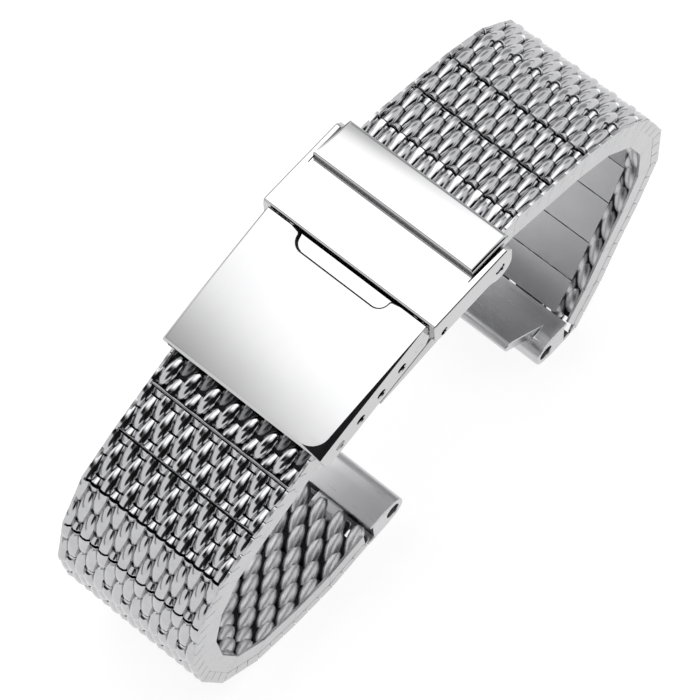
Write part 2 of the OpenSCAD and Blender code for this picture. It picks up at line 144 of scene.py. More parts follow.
# Stainless steel, lapped and buffed to a mirror: crisp reflections, only hairlines show
mirrorSteel = steelMaterial("mirror_polished_stainless", {
    "darkTone": "#BCBCBD", "lightTone": "#C3C3C4", "cloudSize": 6.0,
    "grainSize": 0.9, "grainStretch": (0.25, 1.0, 1.0), "roughness": (0.04, 0.08),
    "bumpStrength": 0.03, "bumpHeight": 0.004})
# Stainless wire, coiled, woven and tumble polished: glossy with a slightly uneven skin
wovenSteel = steelMaterial("woven_polished_stainless_wire", {
    "darkTone": "#B2B2B4", "lightTone": "#C6C6C8", "cloudSize": 1.1,
    "grainSize": 0.16, "grainStretch": (0.5, 1.0, 1.0), "roughness": (0.07, 0.14),
    "bumpStrength": 0.10, "bumpHeight": 0.014})
# The mesh's edge, ground and welded: flat and satin, with lines along the strap
edgeSteel = steelMaterial("ground_stainless_edge", {
    "darkTone": "#B8B8BA", "lightTone": "#C6C6C7", "cloudSize": 2.5,
    "grainSize": 0.12, "grainStretch": (0.15, 1.0, 1.0), "roughness": (0.22, 0.34),
    "bumpStrength": 0.10, "bumpHeight": 0.01})
# Painted shade: a dull, nearly black steel for the core between the coils, the bore walls, the base's floor and
# the cover's recess outline, and a painted dark reflection on the cover's slanted corner
paintedShadeSteel = steelMaterial("painted_shade_dark_stainless", {
    "darkTone": "#1A1A1C", "lightTone": "#303032", "cloudSize": 0.8,
    "grainSize": 0.2, "grainStretch": (1.0, 1.0, 1.0), "roughness": (0.45, 0.6),
    "bumpStrength": 0.3, "bumpHeight": 0.03})
# Stamped and tumbled sheet of the hidden clasp pieces: satin, with rolling lines
stampedSteel = steelMaterial("stamped_satin_stainless", {
    "darkTone": "#B4B4B6", "lightTone": "#C4C4C5", "cloudSize": 4.0,
    "grainSize": 0.3, "grainStretch": (0.08, 1.0, 1.0), "roughness": (0.2, 0.32),
    "bumpStrength": 0.12, "bumpHeight": 0.01})
# Bar of the lug ends, turned and finely polished: soft, even reflections
barSteel = steelMaterial("fine_polished_stainless_bar", {
    "darkTone": "#C2C2C4", "lightTone": "#D0D0D1", "cloudSize": 3.0,
    "grainSize": 0.35, "grainStretch": (1.0, 0.06, 1.0), "roughness": (0.26, 0.34),
    "bumpStrength": 0.05, "bumpHeight": 0.006})
# The wrist side of the coils, ground: a soft satin without sharp reflections
groundSteel = steelMaterial("ground_satin_stainless_inside", {
    "darkTone": "#BCBCBE", "lightTone": "#CACACB", "cloudSize": 3.0,
    "grainSize": 0.2, "grainStretch": (0.15, 1.0, 1.0), "roughness": (0.3, 0.42),
    "bumpStrength": 0.08, "bumpHeight": 0.008})
# Wire of the pins, drawn: grey, with draw lines along its length; its tone is set darker as painted shade, for the
# rods deep in the seams and the hidden row of strands
pinSteelWithPaintedShade = steelMaterial("drawn_pin_wire_darkened_as_painted_shade", {
    "darkTone": "#757577", "lightTone": "#8C8C8E", "cloudSize": 2.0,
    "grainSize": 0.1, "grainStretch": (1.0, 0.05, 1.0), "roughness": (0.2, 0.3),
    "bumpStrength": 0.15, "bumpHeight": 0.01})
print("materials made")


# Places along the straps, from the frame's joints
def jointPlace(name):
    return Vector(next(j["pos_m"] for j in frame["joints"] if j["name"] == name))


def mountPlace(name):
    return Vector(next(m["pos_m"] for m in frame["record"]["mounts"] if m["name"] == name))


# Each strap has a first link, links between pinned seams, and the mesh up to its lug bar
pinnedSeams = 4
meshSegments = 7


def strapPlaces(side, firstHinge):
    seamNames = [f"{side}_seam_{i}" for i in range(1, pinnedSeams + meshSegments)]
    names = [firstHinge, *seamNames, f"{side}_lug_hinge"]
    return [jointPlace(n) for n in names] + [mountPlace(f"{side}_lug_bore")]


lowerPlaces = strapPlaces("lower", "lower_adjust_bar_hinge")
upperPlaces = strapPlaces("upper", "upper_lock_pin_hinge")
pieceNames = ["first_link"]
pieceNames += [f"link_{i}" for i in range(1, pinnedSeams)]
pieceNames += [f"mesh_{i}" for i in range(1, meshSegments + 1)]
wristTurn = {"lower": -1.0, "upper": 1.0}  # sense of a bend towards the wrist, about Y


def turnAt(places, i, side):
    # bend at hinge i towards the wrist, in radians
    if i == 0 or i + 1 >= len(places):
        return 0.0
    before = places[i] - places[i - 1]
    after = places[i + 1] - places[i]
    return math.copysign(before.angle(after), before.cross(after).y * wristTurn[side])


def linkMatrix(start, end, side):
    # local x along the strap, z outwards, y across
    along = (end - start).normalized()
    left = Vector((-along.z, 0, along.x))
    outward = left if side == "upper" else -left
    across = outward.cross(along)
    turned = Matrix((along, across, outward)).transposed().to_4x4()
    return Matrix.Translation(start) @ turned @ Matrix.Scale(mm, 4)


def inOrder(items):
    # each item once, in the same order each run
    return list(dict.fromkeys(items))


def edgeAngle(edge):
    return math.degrees(edge.calc_face_angle(0)) if edge.is_manifold else 0.0


smoothBelow = 38.0  # degrees between two faces that shade as one surface
areaWeight = 100  # the larger a face, the more its slope counts in the shading
tinyEdge = 0.001  # mm, below which a cut has left no real edge


def placedObject(name, bm, matrix, materials, body, nodes=(), evened=False, crisp=None):
    # evened weighs the shading by area; crisp tells more edges that stay sharp
    bmesh.ops.recalc_face_normals(bm, faces=bm.faces)
    bm.normal_update()
    for face in bm.faces:
        face.smooth = True
    for edge in bm.edges:
        edge.smooth = edgeAngle(edge) < smoothBelow and not (crisp and crisp(edge))
    bmesh.ops.transform(bm, matrix=matrix, verts=bm.verts)
    mesh = bpy.data.meshes.new(name)
    bm.to_mesh(mesh)
    bm.free()
    for material in materials:
        mesh.materials.append(material)
    made = bpy.data.objects.new(name, mesh)
    bpy.context.scene.collection.objects.link(made)
    if evened:
        weighted = made.modifiers.new("evened_shading", "WEIGHTED_NORMAL")
        weighted.keep_sharp = True
        weighted.weight = areaWeight
    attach(made, body)
    if nodes:
        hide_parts(*nodes)


# The weave: coils whose strands cross the strap's faces in staggered rows. Lengths in mm, angles in degrees
weave = {
    "rows": 3,
    "columns": (-2, 10),
    "columnPitch": 2.7,
    "pastEdge": 0.5,
    "strandWidth": {"lower": 1.76, "upper": 1.58},
    "strandHeight": 2.0,
    "lengthInRows": 2.1,
    "endFullness": 0.55,
    "faceHeight": 1.95,
    "archDrop": 0.3,
    "archShare": 0.2,
    "scaleTilt": {"lower": 2.0, "upper": 7.0},
    "crown": 0.6,
    "flatShare": 0.86,
    "cutShare": -0.2,
    "outerSlant": 1.5,
    "innerSlant": -20.0,
    "innerTilt": 3.0,
    "innerWidth": 1.9,
    "firstSlant": -8.0,
    "firstShift": -0.62,
    "firstAlong": {"lower": -1.15, "upper": 0.0},
    "firstLonger": {"lower": 1.0, "upper": 1.3},
    "firstRows": {"lower": (3, 4), "upper": (1, 2, 3, 4)},
    "hiddenRow": 2,
    "hiddenDepth": 0.55,
    "edgeAt": 9.9,
    "around": 12,
    "along": 7,
    "columnShift": {"lower": 0.61, "upper": 0.39},
    "coreHalf": 1.0,
    "coreStart": 0.5,
    "coreGap": 0.1,
    "coreReach": 9.6,
    "rodReach": 9.8,
    "rodSides": 12,
    "barrelRadius": 0.95,
}
# The materials of a woven link, in the order of its material slots
linkSteels = {
    "woven": wovenSteel, "paintedShade": paintedShadeSteel, "rod": pinSteelWithPaintedShade, "edge": edgeSteel, "ground": groundSteel}
# The four pinned seams of each strap: half the gap between the coils, and the rod that shows in it
seams = {
    "gap": {"lower": (0.27, 0.2, 0.2, 0.2), "upper": (0.13, 0.22, 0.2, 0.05)},
    "rod": {"lower": (0.2, 0.1, 0.1, 0.1), "upper": (0.06, 0.1, 0.1, 0.06)},
    "rodDepth": {"lower": (0.45, 0.5, 0.5, 0.5), "upper": (0.8, 0.7, 0.7, 0.8)},
}
strapHalfWidth = 10.0
poleReach = 0.01  # distance from a strand's axis, below which a vertex is its pole


def linkSteel(name):
    return list(linkSteels).index(name)


def strandMesh(length, width, tilt):
    # one strand's crest: a rounded rod, arched and tilted like a scale, closed below
    bm = bmesh.new()
    bmesh.ops.create_uvsphere(bm, u_segments=weave["around"], v_segments=weave["along"], radius=1.0)
    bmesh.ops.rotate(bm, verts=bm.verts, matrix=Matrix.Rotation(math.radians(90), 3, "Y"))
    half = weave["strandHeight"] / 2
    top = half * weave["flatShare"]
    lift = math.tan(math.radians(tilt))
    for vert in bm.verts:
        reach = math.hypot(vert.co.y, vert.co.z)
        fuller = reach ** (weave["endFullness"] - 1) if reach > poleReach else 0.0
        share = vert.co.x
        height = vert.co.z * fuller * half
        height = min(height, top + weave["crown"] * (height - top))
        vert.co.x = share * length / 2
        vert.co.y *= fuller * width / 2
        arch = weave["archDrop"] * (1 if share > 0 else weave["archShare"])
        vert.co.z = height + lift * vert.co.x - arch * share ** 2
    floor = weave["cutShare"] * half
    cut = bmesh.ops.bisect_plane(
        bm, geom=bm.verts[:] + bm.edges[:] + bm.faces[:], plane_co=(0, 0, floor), plane_no=(0, 0, -1),
        clear_outer=True)
    edges = [e for e in cut["geom_cut"] if isinstance(e, bmesh.types.BMEdge)]
    bmesh.ops.holes_fill(bm, edges=edges, sides=0)
    highest = max(v.co.z for v in bm.verts)
    bmesh.ops.translate(bm, verts=bm.verts, vec=(0, 0, weave["faceHeight"] - highest))
    mesh = bpy.data.meshes.new("strand")
    bm.to_mesh(mesh)
    bm.free()
    return mesh


def paintFaces(verts, index):
    for vert in verts:
        for face in vert.link_faces:
            face.material_index = index


def addRows(bm, span, rows, parity, up, side, slant, shift, along=0.0, sink=0.0, steel="woven", longer=1.0):
    # up is -1 on the wrist side; shift moves the columns, along and sink move the rows
    step = (span[1] - span[0]) / weave["rows"]
    tilt = weave["scaleTilt"][side] if up > 0 else weave["innerTilt"]
    width = weave["strandWidth"][side] if up > 0 else weave["innerWidth"]
    strand = strandMesh(longer * step * weave["lengthInRows"], width, tilt)
    turned = Matrix.Rotation(math.radians(slant), 4, "Z") @ Matrix.Diagonal((1, 1, up, 1))
    for n in rows:
        x = span[0] + (n - 0.5) * step + along
        column = shift + (0.5 if (n + parity) % 2 else 0.0)
        for k in range(*weave["columns"]):
            y = -strapHalfWidth + (k + column) * weave["columnPitch"]
            if abs(y) < strapHalfWidth + weave["pastEdge"]:
                before = len(bm.verts)
                bm.from_mesh(strand)
                bm.verts.ensure_lookup_table()
                added = bm.verts[before:]
                place = Matrix.Translation((x, y, -up * sink)) @ turned
                bmesh.ops.transform(bm, matrix=place, verts=added)
                paintFaces(added, linkSteel(steel))
    bpy.data.meshes.remove(strand)


def trim(bm, point, normal):
    # cuts away what lies beyond the plane and closes the cut
    geometry = bm.verts[:] + bm.edges[:] + bm.faces[:]
    cut = bmesh.ops.bisect_plane(
        bm, geom=geometry, plane_co=point, plane_no=normal, clear_outer=True, clear_inner=False)
    edges = [e for e in cut["geom_cut"] if isinstance(e, bmesh.types.BMEdge)]
    bmesh.ops.holes_fill(bm, edges=edges, sides=0)


def addBlock(bm, low, high, steel):
    made = bmesh.ops.create_cube(bm, size=1.0)["verts"]
    bmesh.ops.scale(bm, verts=made, vec=[b - a for a, b in zip(low, high)])
    bmesh.ops.translate(bm, verts=made, vec=[(a + b) / 2 for a, b in zip(low, high)])
    paintFaces(made, linkSteel(steel))


def addRod(bm, x, z, radius, reach, steel):
    made = bmesh.ops.create_cone(
        bm, cap_ends=True, segments=weave["rodSides"], radius1=radius, radius2=radius,
        depth=2 * reach)["verts"]
    bmesh.ops.rotate(bm, verts=made, matrix=Matrix.Rotation(math.radians(90), 3, "X"))
    bmesh.ops.translate(bm, verts=made, vec=(x, 0, z))
    paintFaces(made, linkSteel(steel))


# The strap's edge: a ground band, and above it the coils' end loops, parted by thin leaning slits
strapEdge = {
    "bandTop": 0.35,
    "bandBottom": -1.88,
    "bandAt": 9.94,
    "loopTop": 1.78,
    "backTop": 1.5,
    "backAt": 9.86,
    "loopAt": 9.97,
    "thick": 0.3,
    "slit": {"bend": 0.05, "straight": 0.025},
    "lean": 0.32,
    "endGap": 0.01,
    "bandRounding": 0.02,
    "loopRounding": 0.08,
}


def addEdgePiece(bm, ends, shares, heights, side, at, lean, slitWidth, rounding):
    # a plate on the strap's edge, between two shares of the link's length at each height
    made = bmesh.ops.create_cube(bm, size=1.0)["verts"]
    for vert in made:
        upper = vert.co.z > 0
        z = heights[1] if upper else heights[0]
        begin = ends[0][0] - z * ends[0][1]
        length = ends[1][0] + z * ends[1][1] - begin
        share, inset = (shares[1], -slitWidth) if vert.co.x > 0 else (shares[0], slitWidth)
        x = begin + share * length + inset + (lean if upper else -lean)
        y = side * (at if vert.co.y * side > 0 else at - strapEdge["thick"])
        vert.co = (x, y, z)
    paintFaces(made, linkSteel("edge"))
    edges = [e for e in inOrder(e for v in made for e in v.link_edges)
             if abs(e.verts[0].co.y - e.verts[1].co.y) > strapEdge["thick"] / 4]
    bmesh.ops.bevel(
        bm, geom=edges, offset=rounding, offset_type="OFFSET", segments=2, profile=0.5,
        affect="EDGES", clamp_overlap=True, material=-1)


def addEdges(bm, ends, slitWidth):
    # ends: where the link begins and ends at mid height, and how much each end leans
    rows = weave["rows"]
    top, gap = strapEdge["bandTop"], strapEdge["endGap"]
    for side in (-1, 1):
        addEdgePiece(bm, ends, (0, 1), (strapEdge["bandBottom"], top), side,
                     strapEdge["bandAt"], 0, gap, strapEdge["bandRounding"])
        addEdgePiece(bm, ends, (0, 1), (top, strapEdge["backTop"]), side,
                     strapEdge["backAt"], 0, gap, strapEdge["bandRounding"])
        for n in range(rows):
            addEdgePiece(bm, ends, (n / rows, (n + 1) / rows), (top, strapEdge["loopTop"]), side,
                         strapEdge["loopAt"], strapEdge["lean"], slitWidth, strapEdge["loopRounding"])


# Smooth plates on the wrist side of the upper strap's links
lining = {"width": 16.0, "faceAt": 1.99, "backAt": 1.2, "gap": 0.08}


def buildLink(node, places, i, side):
    start, end = places[i], places[i + 1]
    length = (end - start).length / mm
    leanHere = math.tan(turnAt(places, i, side) / 2)
    leanNext = math.tan(turnAt(places, i + 1, side) / 2)
    reach = weave["faceHeight"]
    fullLink = (places[2] - places[1]).length / mm
    firstRow = length - fullLink if i == 0 else 0.0
    outerSpan = (firstRow - reach * leanHere, length + reach * leanNext)
    innerSpan = (firstRow + reach * leanHere, length - reach * leanNext)
    # a pinned seam cuts the rows that run past it; the mesh's rows go on over its bends
    startPinned = 0 < i <= pinnedSeams
    endPinned = i < pinnedSeams
    parity = max(0, i - pinnedSeams) * weave["rows"]
    rows = range(0 if startPinned else 1, weave["rows"] + (2 if endPinned else 1))
    shift = weave["columnShift"][side]
    bm = bmesh.new()
    if i == 0:
        # the sheet of the clasp hides where these begin
        along = weave["firstAlong"][side]
        lowerFirst = side == "lower"
        slant = weave["firstSlant"] if lowerFirst else weave["outerSlant"]
        outerShift = shift + weave["firstShift"] if lowerFirst else shift
        addRows(bm, outerSpan, weave["firstRows"][side], parity, 1, side, slant, outerShift, along,
                longer=weave["firstLonger"][side])
        if lowerFirst:
            # the hidden row is sunk and drawn in the darker rod steel: painted shade under the clasp's sheet
            addRows(bm, outerSpan, [weave["hiddenRow"]], parity, 1, side, slant, outerShift, along,
                    weave["hiddenDepth"], "rod")
    else:
        addRows(bm, outerSpan, rows, parity, 1, side, weave["outerSlant"], shift)
    addRows(bm, innerSpan, rows, parity, -1, side, weave["innerSlant"], shift, steel="ground")
    gaps = seams["gap"][side]
    if endPinned:
        trim(bm, (length - gaps[i], 0, 0), (1, 0, -leanNext))
    if startPinned:
        trim(bm, (gaps[i - 1], 0, 0), (-1, 0, -leanHere))
    for sign in (-1, 1):
        trim(bm, (0, sign * weave["edgeAt"], 0), (0, sign, 0))
    core, coreReach = weave["coreHalf"], weave["coreReach"]
    barrel = weave["barrelRadius"]
    # a dark core and barrel under the strands: painted shade between the coils
    addBlock(bm, (0 if i else weave["coreStart"], -coreReach, -core),
             (length - barrel - weave["coreGap"], coreReach, core), "paintedShade")
    if i:
        addRod(bm, 0, 0, barrel, coreReach, "paintedShade")
    if endPinned:
        # the rod in the seam's gap is drawn in the darker rod steel: painted shade
        rod = seams["rod"][side][i]
        addRod(bm, length, reach - seams["rodDepth"][side][i], rod, weave["rodReach"], "rod")
    slitWidth = strapEdge["slit"]["straight" if side == "upper" and i <= pinnedSeams else "bend"]
    addEdges(bm, ((firstRow, leanHere), (length, leanNext)), slitWidth)
    if side == "upper" and i:
        gap, half = lining["gap"], lining["width"] / 2
        addBlock(bm, (innerSpan[0] + gap, -half, -lining["faceAt"]),
                 (innerSpan[1] - gap, half, -lining["backAt"]), "ground")
    bmesh.ops.dissolve_degenerate(bm, dist=tinyEdge, edges=bm.edges)
    placedObject(
        f"woven_{node}", bm, linkMatrix(start, end, side), list(linkSteels.values()),
        node, (node,))


def buildStrap(places, side):
    for i, piece in enumerate(pieceNames):
        buildLink(f"{side}_{piece}", places, i, side)
    print(side, "strap woven")


buildStrap(lowerPlaces, "lower")
buildStrap(upperPlaces, "upper")


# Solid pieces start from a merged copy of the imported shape, brought into the piece's own frame in mm
cleaned = {"doubles": 0.002, "level": 0.5}  # mm between doubles, degrees between faces that are one
sharpAbove = 40.0  # degrees between two faces that meet at a real edge
touching = 0.01  # mm
closeTo = 0.05  # mm, within which an edge counts as lying at a place
topBand = 0.1  # mm below the top that still counts as the top
longEdge = 1.0  # mm
squarely = 0.9  # least share of a face's normal along an axis that it faces
boreMargin = 0.02  # mm
boreTurn = 0.2  # the wall of a bore faces less than this share across the strap
rimMargin = 0.3  # mm round a bore, where its rim stays as it is
secondSteel = 1  # slot of a clasp piece's second material
claspHalfWidth = 11.15  # mm
domeColumns = (-7.5, -3.7, 0.0, 3.7, 7.5)  # cuts along the strap, so that a top can be domed


def claspMatrix(pivot, slope, pivotAt):
    turned = Matrix.Rotation(math.radians(-slope), 4, "Y")
    moved = Matrix.Translation((-pivotAt[0], 0, -pivotAt[1]))
    return Matrix.Translation(pivot) @ turned @ Matrix.Scale(mm, 4) @ moved


def localCopy(node, matrix):
    bm = bmesh.new()
    bm.from_mesh(frame["nodes"][node].data)
    bmesh.ops.transform(bm, matrix=matrix.inverted(), verts=bm.verts)
    bmesh.ops.remove_doubles(bm, verts=bm.verts, dist=cleaned["doubles"])
    bmesh.ops.dissolve_limit(
        bm, angle_limit=math.radians(cleaned["level"]), verts=bm.verts, edges=bm.edges)
    bm.normal_update()
    return bm


def roundEdges(bm, edges, radius, segments, index=-1):
    if edges:
        bmesh.ops.bevel(
            bm, geom=edges, offset=radius, offset_type="OFFSET", segments=segments, profile=0.5,
            affect="EDGES", clamp_overlap=False, material=index)
        bm.normal_update()


def nearAxis(edge, axes):
    # axes: x, z and radius of the bores whose rims stay as they are
    middle = (edge.verts[0].co + edge.verts[1].co) / 2
    return any(math.hypot(middle.x - x, middle.z - z) < radius for x, z, radius in axes)


def sharpEdges(bm, axes=()):
    return [e for e in bm.edges if edgeAngle(e) > sharpAbove and not nearAxis(e, axes)]


def rimEdges(bm, bores):
    # the outer rims of the bores in the walls
    outer = max(abs(v.co.y) for v in bm.verts) - boreMargin
    return [e for e in sharpEdges(bm) if min(abs(v.co.y) for v in e.verts) > outer and nearAxis(e, bores)]


def sideTopEdges(bm, top):
    # long edges between the top and a side wall
    found = []
    for edge in bm.edges:
        low = min(v.co.z for v in edge.verts)
        if edgeAngle(edge) > sharpAbove and edge.calc_length() > longEdge and low > top - topBand:
            if max(abs(f.normal.y) for f in edge.link_faces) > squarely:
                found.append(edge)
    return found


def crossEdges(bm, x, top):
    # edges across the strap at x, beside the top
    return [e for e in sharpEdges(bm) if max(abs(v.co.x - x) for v in e.verts) < closeTo
            and min(v.co.z for v in e.verts) > top - topBand]


def cutAcross(bm, lowest, xs, ys):
    # cuts the faces above the height lowest in strips, so that they can be domed
    for axis, values in ((0, xs), (1, ys)):
        for value in values:
            faces = [f for f in bm.faces if min(v.co.z for v in f.verts) > lowest]
            edges = inOrder(e for f in faces for e in f.edges)
            verts = inOrder(v for f in faces for v in f.verts)
            point = [0.0, 0.0, 0.0]
            point[axis] = value
            normal = [0.0, 0.0, 0.0]
            normal[axis] = 1.0
            bmesh.ops.bisect_plane(bm, geom=[*faces, *edges, *verts], plane_co=point, plane_no=normal)


def paintBoreShade(bm, bores):
    # paints the walls inside the bores in the second steel, the dark one on the cover and the lock: painted shade
    for face in bm.faces:
        middle = face.calc_center_median()
        for x, z, radius in bores:
            if math.hypot(middle.x - x, middle.z - z) < radius and abs(face.normal.y) < boreTurn:
                face.material_index = secondSteel


# Clasp cover: its polished top is gently domed, with a flat that ends in a round corner.
# Its frame has x along the slope, from the edge beside the flip lock, and z up from the top
cover = {
    "slope": 17.0,
    "frontPin": (-1.7, -2.8),
    "frontPinRadius": 0.7,
    "length": 17.7,
    "lowerFlatInset": 0.3,
    "nearFlatInset": (0.06, 0.75),
    "flatCorner": 2.3,
    "cornerDrop": 0.3,
    "cornerSteps": 8,
    "slantedRise": (0.7, 0.985),
    "slantedTurn": -0.04,
    "slantedLowest": -0.75,
    "lowestTop": -0.6,
    "farRounding": 0.3,
    "frontReach": 0.35,
    "frontDepth": 0.9,
    "edgeRounding": 0.07,
    "roundedBelow": 0.3,
    "tipCut": 0.5,
    "tipClear": 0.1,
    "mouthHeight": 0.3,
    "mouthRounding": 0.5,
    "recessWidth": 12.5,
    "recessDepth": 1.3,
    "recessDrop": 0.5,
    "recessOutline": 0.19,
    "recessMargin": 0.1,
    "recessRise": 0.4,
    "crispInset": 0.5,
    "crispAbove": 9.0,
    "crispRise": 0.6,
    "domeStrips": 11,
    "domeFrom": 7.5,
    "domeSkew": 2.4,
    "domeDrop": 0.24,
    "domeSides": 0.10,
    "holes": [(-14.9 + k * 3.48, -2.85) for k in range(4)],
    "holeRadius": 0.625,
    "rimRounding": 0.17,
}


def cutFlat(bm):
    # slanted cuts leave the flat: along the lower edge, round its corner and along the near edge
    length, half, drop = cover["length"], claspHalfWidth, cover["cornerDrop"]
    frontInset, rearInset = cover["nearFlatInset"]
    radius = cover["flatCorner"]
    corner = Vector((-length, -half, 0))
    centre = Vector((-length + cover["lowerFlatInset"] + radius, -half + rearInset + radius, 0))
    for k in range(cover["cornerSteps"]):
        turn = math.radians(90 * k / cover["cornerSteps"])
        toward = Vector((-math.cos(turn), -math.sin(turn), 0))
        touch = centre + radius * toward
        steep = drop / (corner - touch).dot(toward)
        trim(bm, touch, (toward.x * steep, toward.y * steep, 1))
    farPoint = Vector((0, -half + frontInset, 0))
    nearPoint = Vector((centre.x, -half + rearInset, 0))
    outer = Vector((-length, -half, -drop))
    normal = (farPoint - nearPoint).cross(outer - nearPoint)
    trim(bm, nearPoint, normal if normal.z > 0 else -normal)


def buildCover():
    matrix = claspMatrix(jointPlace("cover_fold"), cover["slope"], cover["frontPin"])
    bm = localCopy("clasp_cover", matrix)
    recessHalf, recessDepth = cover["recessWidth"] / 2, cover["recessDepth"]
    for vert in bm.verts:
        # beside the recess the top comes closer to the flip lock
        inFront = vert.co.x > -touching and vert.co.z > -cover["frontDepth"]
        if inFront and abs(vert.co.y) > recessHalf - closeTo:
            vert.co.x += cover["frontReach"]
    mouth = [e for e in bm.edges if abs(e.verts[0].co.z - e.verts[1].co.z) > cover["mouthHeight"]
             and min(v.co.x for v in e.verts) > -touching
             and abs(abs(e.verts[0].co.y) - recessHalf) < closeTo
             and min(v.co.z for v in e.verts) > cover["lowestTop"]]
    roundEdges(bm, mouth, cover["mouthRounding"], segments=4)
    cutFlat(bm)
    bm.normal_update()
    farTop = [e for e in sideTopEdges(bm, 0) if e.verts[0].co.y > 0]
    roundEdges(bm, farTop, cover["farRounding"], segments=4)
    mouthHalf = recessHalf + cover["mouthRounding"] + boreMargin
    # the recess's outline is rounded in the dark steel: a painted dark outline, shade painted along its edge
    outline = [e for e in sharpEdges(bm) if min(v.co.z for v in e.verts) > -touching
               and min(v.co.x for v in e.verts) < cover["frontReach"] - touching / 2
               and min(v.co.x for v in e.verts) > -recessDepth - touching
               and max(abs(v.co.y) for v in e.verts) < mouthHalf]
    roundEdges(bm, outline, cover["recessOutline"], segments=3, index=secondSteel)
    bores = [(x, z, cover["holeRadius"] + boreMargin) for x, z in cover["holes"]]
    roundEdges(bm, rimEdges(bm, bores), cover["rimRounding"], segments=2)
    plain = [(*cover["frontPin"], cover["frontPinRadius"])]
    plain += [(x, z, cover["holeRadius"] + rimMargin) for x, z in cover["holes"]]
    # a cut just short of the tip keeps the rounding off its corner
    bmesh.ops.bisect_plane(bm, geom=bm.verts[:] + bm.edges[:] + bm.faces[:],
                           plane_co=(cover["tipCut"] - cover["length"], 0, 0), plane_no=(1, 0, 0))
    tip = Vector((-cover["length"], -claspHalfWidth, -cover["cornerDrop"]))
    rounded = [e for e in sharpEdges(bm, plain)
               if min(f.normal.z for f in e.link_faces) < cover["roundedBelow"]
               and min((v.co - tip).length for v in e.verts) > cover["tipClear"]]
    roundEdges(bm, rounded, cover["edgeRounding"], segments=2)
    strips = cover["domeStrips"]
    xs = [-cover["length"] * k / strips for k in range(1, strips)]
    cutAcross(bm, cover["lowestTop"], xs, domeColumns)
    span = cover["length"] - cover["domeFrom"]
    for vert in bm.verts:
        if vert.co.z > cover["lowestTop"]:
            begin = cover["domeFrom"] - cover["domeSkew"] * vert.co.y / claspHalfWidth
            beyond = max(0.0, -vert.co.x - begin) / span
            side = (abs(vert.co.y) / claspHalfWidth) ** 2
            vert.co.z -= cover["domeDrop"] * beyond ** 2 + cover["domeSides"] * side
    # the cover's bore walls are painted dark: painted shade
    paintBoreShade(bm, bores)
    margin = cover["recessMargin"]
    low, high = cover["slantedRise"]
    for face in bm.faces:
        middle = face.calc_center_median()
        inRecess = -recessDepth - margin < middle.x < -2 * touching and abs(middle.y) < recessHalf + margin
        # the recess's side walls are painted dark: painted shade
        if inRecess and -cover["recessDrop"] < middle.z < 0 and abs(face.normal.z) < cover["recessRise"]:
            face.material_index = secondSteel
        slanted = low < face.normal.z < high and face.normal.y < cover["slantedTurn"]
        if slanted and middle.z > cover["slantedLowest"]:
            # the slanted corner beside the flat is painted dark: a painted dark reflection
            face.material_index = secondSteel
    bmesh.ops.dissolve_degenerate(bm, dist=tinyEdge, edges=bm.edges)

    def crisp(edge):
        # the flat's outline, whose faces are nearly level with it
        if max(v.co.y for v in edge.verts) > claspHalfWidth - cover["crispInset"]:
            return False
        lowest = min(f.normal.z for f in edge.link_faces)
        return edgeAngle(edge) > cover["crispAbove"] and lowest > cover["crispRise"]

    placedObject("polished_clasp_cover", bm, matrix, [mirrorSteel, paintedShadeSteel], "cover",
                 ("clasp_cover",), True, crisp)


# Flip lock: a plate with a rounded lip, side walls and ears. Its frame turns about the lock pin
lock = {
    "slope": 2.0,
    "plateTop": 2.7,
    "lipDrop": 0.2,
    "sideRounding": 0.22,
    "lipRounding": 0.3,
    "edgeRounding": 0.07,
    "jointRadius": 5.35,
    "jointSpread": 0.04,
    "jointLowest": 1.5,
    "closeRadius": 5.205,
    "pinRadius": 0.71,
    "latch": (-9.0, -0.4),
    "latchRadius": 0.53,
    "rimRounding": 0.12,
}


def plateRear():
    # where the plate's top ends beside the end block
    return -math.sqrt(lock["closeRadius"] ** 2 - lock["plateTop"] ** 2)


def buildLock():
    matrix = claspMatrix(jointPlace("lock_flip"), lock["slope"], (0, 0))
    bm = localCopy("flip_lock", matrix)
    front = min(v.co.x for v in bm.verts)
    for vert in bm.verts:
        # the plate's rear edge comes close to the end block
        radius = math.hypot(vert.co.x, vert.co.z)
        onJoint = abs(radius - lock["jointRadius"]) < lock["jointSpread"]
        if onJoint and vert.co.z > lock["jointLowest"]:
            vert.co.x = -math.sqrt(lock["closeRadius"] ** 2 - vert.co.z ** 2)
    bm.normal_update()
    roundEdges(bm, sideTopEdges(bm, lock["plateTop"]), lock["sideRounding"], segments=3)
    roundEdges(bm, crossEdges(bm, front, lock["plateTop"] - lock["lipDrop"]), lock["lipRounding"], segments=3)
    bores = [(0, 0, lock["pinRadius"] + boreMargin), (*lock["latch"], lock["latchRadius"])]
    roundEdges(bm, rimEdges(bm, bores), lock["rimRounding"], segments=2)
    rearEdges = crossEdges(bm, plateRear(), lock["plateTop"])
    plain = [(x, z, radius + rimMargin) for x, z, radius in bores]
    others = [e for e in sharpEdges(bm, plain) if e not in rearEdges]
    roundEdges(bm, others, lock["edgeRounding"], segments=2)
    # the lock's bore walls are painted dark: painted shade
    paintBoreShade(bm, bores)
    placedObject("polished_flip_lock", bm, matrix, [mirrorSteel, paintedShadeSteel], "lock",
                 ("flip_lock",), True)


